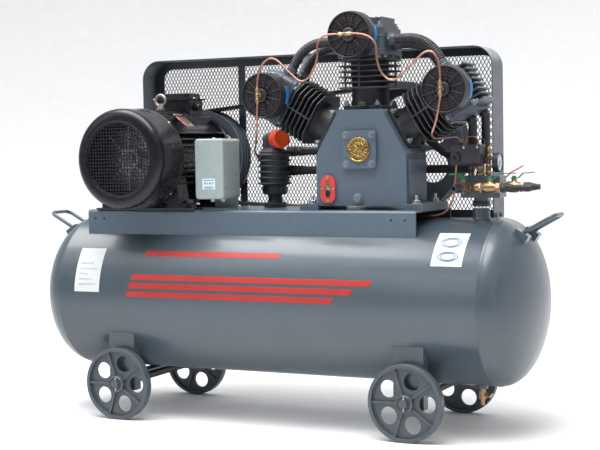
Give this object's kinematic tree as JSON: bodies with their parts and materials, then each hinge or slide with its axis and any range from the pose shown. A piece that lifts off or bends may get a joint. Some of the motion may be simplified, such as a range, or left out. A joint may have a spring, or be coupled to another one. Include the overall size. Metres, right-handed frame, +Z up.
{
  "type": "air compressor",
  "caption": "Belt-driven W-type piston air compressor on a wheeled horizontal receiver with electric motor, belt guard and outlet valves.",
  "frame": {"origin": "on the floor under the middle of the receiver, at the centre of the bounding box's underside", "axes": "+X along the receiver towards the outlet valves, +Y towards the belt guard, +Z up"},
  "size_m": [1.78, 0.61, 1.264],
  "materials": {
    "receiver_paint": "semi-gloss blue-grey enamel",
    "deck_paint": "semi-gloss blue-grey enamel",
    "wheel_paint": "blue-grey enamel on cast iron",
    "guard_paint": "blue-grey enamel",
    "mesh_steel": "dark expanded metal",
    "motor_black": "gloss black enamel",
    "bracket_black": "satin black",
    "case_paint": "satin blue-grey enamel on casting",
    "block_paint": "dark satin casting",
    "laminated_steel": "bare",
    "bright_steel": "machined",
    "zinc": "zinc plated",
    "cast": "as cast",
    "alloy": "machined",
    "brass": "machined brass",
    "copper": "drawn copper tube",
    "belt_rubber": "matt",
    "filter_plastic": "moulded black",
    "switch_plastic": "moulded dark grey",
    "starter_plastic": "pale green-grey",
    "cap_plastic": "orange-red",
    "lever_green": "green sleeve",
    "lever_red": "red sleeve",
    "sight_red": "red enamel frame"
  },
  "bodies": {
    "chassis": {"air_filters": "filter_plastic", "axles": "bright_steel", "bearings": "bright_steel", "belt_guard": "guard_paint", "bolts": "zinc", "check_valve_body": "block_paint", "check_valve_cap": "cap_plastic", "crankcase": "case_paint", "crankcase_covers": "case_paint", "cylinder_heads": "block_paint", "cylinders": "block_paint", "delivery_pipes": "block_paint", "drain_cock": "brass", "drive_belts": "belt_rubber", "guard_mesh": "mesh_steel", "guard_stay": "guard_paint", "handles": "receiver_paint", "legs": "deck_paint", "motor_end_bells": "motor_black", "motor_eyebolt": "zinc", "motor_fan_cover": "motor_black", "motor_frame": "motor_black", "motor_slide_rails": "bracket_black", "motor_stator": "laminated_steel", "outlet_manifold": "receiver_paint", "outlet_valves": "brass", "platform": "deck_paint", "pressure_gauge": "switch_plastic", "pressure_switch": "switch_plastic", "safety_valve": "brass", "sight_glass": "sight_red", "starter_box": "starter_plastic", "starter_lid": "starter_plastic", "tank_barrel": "receiver_paint", "tank_heads": "receiver_paint", "terminal_box": "motor_black", "terminal_box_lid": "motor_black", "unloader_line": "copper"},
    "front_left_wheel": {"wheel_front_left": "wheel_paint"},
    "front_right_wheel": {"wheel_front_right": "wheel_paint"},
    "rear_left_wheel": {"wheel_rear_left": "wheel_paint"},
    "rear_right_wheel": {"wheel_rear_right": "wheel_paint"},
    "motor_shaft": {"motor_rotor": "laminated_steel", "motor_pulley": "wheel_paint", "motor_fan": "alloy"},
    "crank": {"crankshaft": "cast", "flywheel": "wheel_paint"},
    "drain_handle": {"drain_lever": "brass"},
    "needle": {"gauge_needle": "switch_plastic"},
    "relief_ring": {"safety_ring": "zinc"},
    "left_piston": {"piston_left": "alloy"},
    "left_rod": {"rod_left": "bright_steel"},
    "centre_piston": {"piston_centre": "alloy"},
    "centre_rod": {"rod_centre": "bright_steel"},
    "right_piston": {"piston_right": "alloy"},
    "right_rod": {"rod_right": "bright_steel"},
    "front_lever": {"lever_front": "lever_green"},
    "right_lever": {"lever_right": "lever_green"},
    "end_lever": {"lever_end": "lever_green"},
    "back_lever": {"lever_back": "lever_red"}
  },
  "joints": [
    {"name": "front_left_wheel_spin", "type": "hinge", "parent": "chassis", "child": "front_left_wheel", "pos_m": [-0.495, -0.246, 0.115], "axis": [0, 1, 0], "continuous": true},
    {"name": "front_right_wheel_spin", "type": "hinge", "parent": "chassis", "child": "front_right_wheel", "pos_m": [0.495, -0.246, 0.115], "axis": [0, 1, 0], "continuous": true},
    {"name": "rear_left_wheel_spin", "type": "hinge", "parent": "chassis", "child": "rear_left_wheel", "pos_m": [-0.495, 0.246, 0.115], "axis": [0, 1, 0], "continuous": true},
    {"name": "rear_right_wheel_spin", "type": "hinge", "parent": "chassis", "child": "rear_right_wheel", "pos_m": [0.495, 0.246, 0.115], "axis": [0, 1, 0], "continuous": true},
    {"name": "crank_spin", "type": "hinge", "parent": "chassis", "child": "crank", "pos_m": [0.3, 0.1, 0.851], "axis": [0, 1, 0], "continuous": true},
    {"name": "motor_spin", "type": "hinge", "parent": "chassis", "child": "motor_shaft", "pos_m": [-0.44, 0, 0.834], "axis": [0, 1, 0], "continuous": true},
    {"name": "left_piston_slide", "type": "slide", "parent": "chassis", "child": "left_piston", "axis": [-0.866, 0, 0.5], "range_m": [-0.04326, 0.01674]},
    {"name": "left_rod_swing", "type": "hinge", "parent": "left_piston", "child": "left_rod", "pos_m": [0.11964, -0.03, 0.95513], "axis": [0, 1, 0], "range_deg": [-1.19, 16.51]},
    {"name": "centre_piston_slide", "type": "slide", "parent": "chassis", "child": "centre_piston", "axis": [0, 0, 1], "range_m": [-0.06, 0]},
    {"name": "centre_rod_swing", "type": "hinge", "parent": "centre_piston", "child": "centre_rod", "pos_m": [0.3, -0.015, 1.076], "axis": [0, 1, 0], "range_deg": [-8.85, 8.85]},
    {"name": "right_piston_slide", "type": "slide", "parent": "chassis", "child": "right_piston", "axis": [0.866, 0, 0.5], "range_m": [-0.04326, 0.01674]},
    {"name": "right_rod_swing", "type": "hinge", "parent": "right_piston", "child": "right_rod", "pos_m": [0.48036, 0, 0.95513], "axis": [0, 1, 0], "range_deg": [-16.51, 1.19]},
    {"name": "front_lever_turn", "type": "hinge", "parent": "chassis", "child": "front_lever", "pos_m": [0.614, -0.064, 0.757], "axis": [0, 0, 1], "range_deg": [-90, 0]},
    {"name": "right_lever_turn", "type": "hinge", "parent": "chassis", "child": "right_lever", "pos_m": [0.696, -0.062, 0.757], "axis": [0, 0, 1], "range_deg": [-90, 0]},
    {"name": "end_lever_turn", "type": "hinge", "parent": "chassis", "child": "end_lever", "pos_m": [0.749, 0.002, 0.757], "axis": [0, 0, 1], "range_deg": [0, 90]},
    {"name": "back_lever_turn", "type": "hinge", "parent": "chassis", "child": "back_lever", "pos_m": [0.69, 0.069, 0.757], "axis": [0, 0, 1], "range_deg": [0, 90]},
    {"name": "drain_turn", "type": "hinge", "parent": "chassis", "child": "drain_handle", "pos_m": [0.665, 0, 0.107], "axis": [1, 0, 0], "range_deg": [0, 90]},
    {"name": "needle_swing", "type": "hinge", "parent": "chassis", "child": "needle", "pos_m": [0.7065, -0.001, 0.806], "axis": [1, 0, 0], "range_deg": [-270, 0]},
    {"name": "relief_pull", "type": "slide", "parent": "chassis", "child": "relief_ring", "axis": [0, 0, 1], "range_m": [0, 0.004], "stiffness_N_per_m": 500}
  ],
  "couplings": [
    {"joint": "motor_spin", "follows": "crank_spin", "ratio": 1.35}
  ]
}
